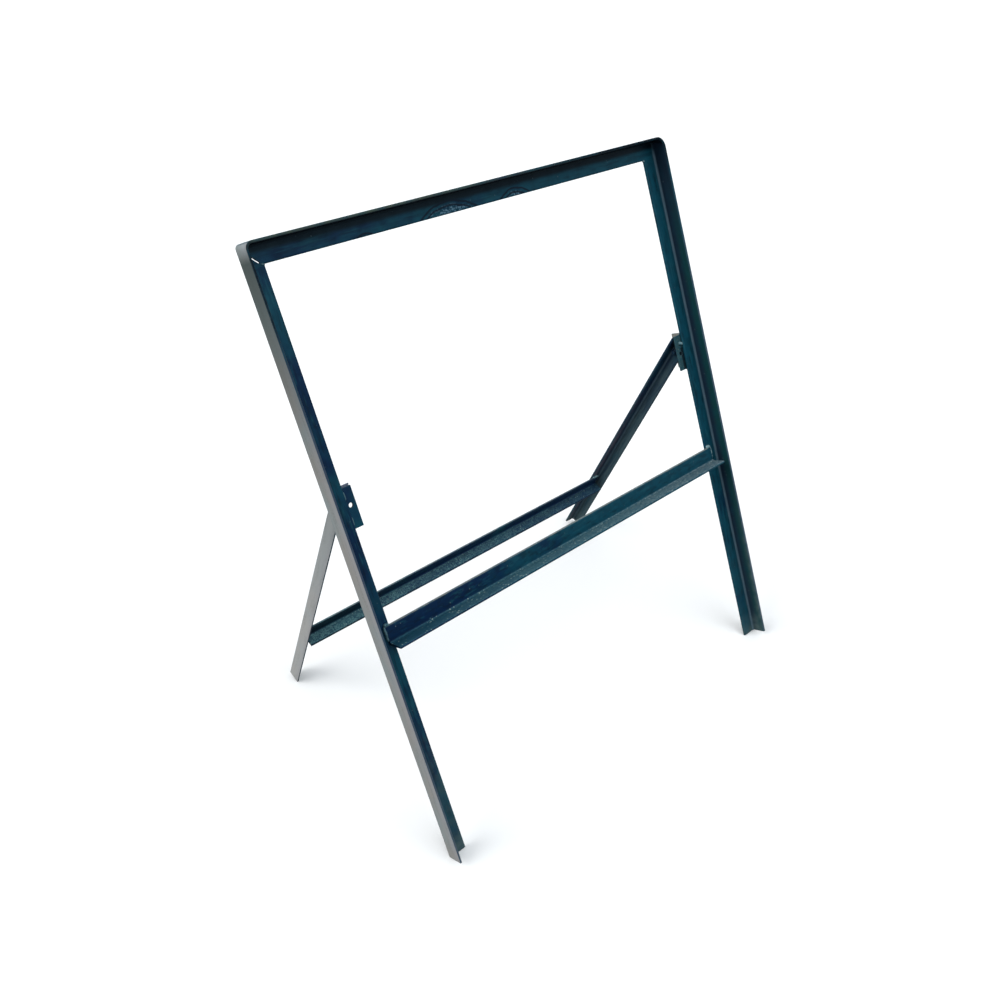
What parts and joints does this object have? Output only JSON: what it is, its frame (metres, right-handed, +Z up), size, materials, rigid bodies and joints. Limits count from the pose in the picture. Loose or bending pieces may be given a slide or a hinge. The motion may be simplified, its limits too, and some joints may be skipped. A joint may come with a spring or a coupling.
{
  "type": "folding sign stand",
  "caption": "Leaning frame of bent steel angle with a shelf for a flat sign, propped open by a smaller hinged rear frame of lighter angle.",
  "frame": {"origin": "middle of the footprint, on the floor, with the stand open", "axes": "+Z up; -Y is the side the sign faces; X across the stand, along the pivot axis"},
  "size_m": [0.65, 0.4256, 0.7093],
  "materials": {
    "front_paint": "worn dark blue-black paint, semi-gloss",
    "rear_paint": "worn dark blue-black paint, semi-gloss",
    "fastener_paint": "painted over with the frame"
  },
  "bodies": {
    "front_frame": {"front_frame_bar": "front_paint", "front_crossbar": "front_paint", "bracket_left": "front_paint", "bracket_right": "front_paint", "pivot_bolt_left": "fastener_paint", "pivot_bolt_right": "fastener_paint", "spacer_washer_left": "fastener_paint", "spacer_washer_right": "fastener_paint", "nut_washer_left": "fastener_paint", "nut_washer_right": "fastener_paint", "pivot_nut_left": "fastener_paint", "pivot_nut_right": "fastener_paint"},
    "rear_frame": {"rear_leg_left": "rear_paint", "rear_leg_right": "rear_paint", "rear_crossbar": "rear_paint"}
  },
  "joints": [
    {"name": "rear_frame_fold", "type": "hinge", "parent": "front_frame", "child": "rear_frame", "pos_m": [0, 0.03187, 0.42514], "axis": [-1, 0, 0], "range_deg": [0, 47.5]}
  ]
}
